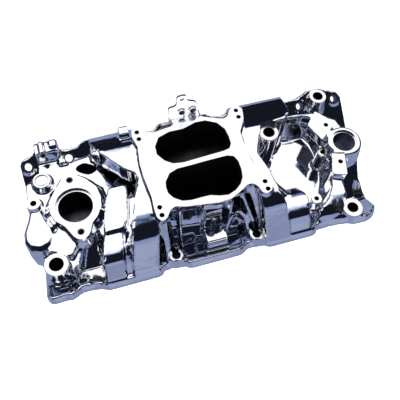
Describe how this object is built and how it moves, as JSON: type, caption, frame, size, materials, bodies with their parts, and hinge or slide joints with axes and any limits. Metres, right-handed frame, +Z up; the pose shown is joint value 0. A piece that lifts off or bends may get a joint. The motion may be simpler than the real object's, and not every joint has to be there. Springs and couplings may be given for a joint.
{
  "type": "intake manifold",
  "caption": "Dual-plane intake manifold for a V8 engine, with a four-barrel carburettor pad, sloping head flanges, thermostat flange and distributor tower.",
  "frame": {"origin": "centre of the carburettor stud pattern, on the machined top face of the pad", "axes": "+X towards the rear (distributor) end, +Y towards the far cylinder bank, +Z up out of the carburettor pad"},
  "size_m": [0.5094, 0.241, 0.15],
  "materials": {
    "cast_aluminium": "mirror-polished casting, machined faces, as-cast passages",
    "bracket_plate": "polished folded sheet",
    "plated_steel": "bright zinc-plated steel",
    "core_plug": "polished steel",
    "gasket": "dark fibre gasket",
    "cover_plate": "polished sheet",
    "shield_sheet": "pressed steel sheet, dull",
    "cup_plug": "zinc-plated steel cup",
    "brass_plug": "brass",
    "insert_steel": "stainless steel"
  },
  "bodies": {
    "root": {"manifold_casting": "cast_aluminium", "cable_bracket": "bracket_plate", "bracket_bolt_front": "plated_steel", "bracket_bolt_rear": "plated_steel", "bracket_washer_front": "plated_steel", "bracket_washer_rear": "plated_steel", "core_plug": "core_plug", "choke_gasket": "gasket", "choke_cover": "cover_plate", "choke_screw_upper": "plated_steel", "choke_screw_lower": "plated_steel", "splash_shield": "shield_sheet", "shield_rivets": "plated_steel", "crossover_plug_near": "cup_plug", "crossover_plug_far": "cup_plug", "water_plug_near": "brass_plug", "water_plug_far": "brass_plug", "vacuum_plug": "brass_plug", "thermostat_insert_near": "insert_steel", "thermostat_insert_far": "insert_steel"}
  },
  "joints": []
}
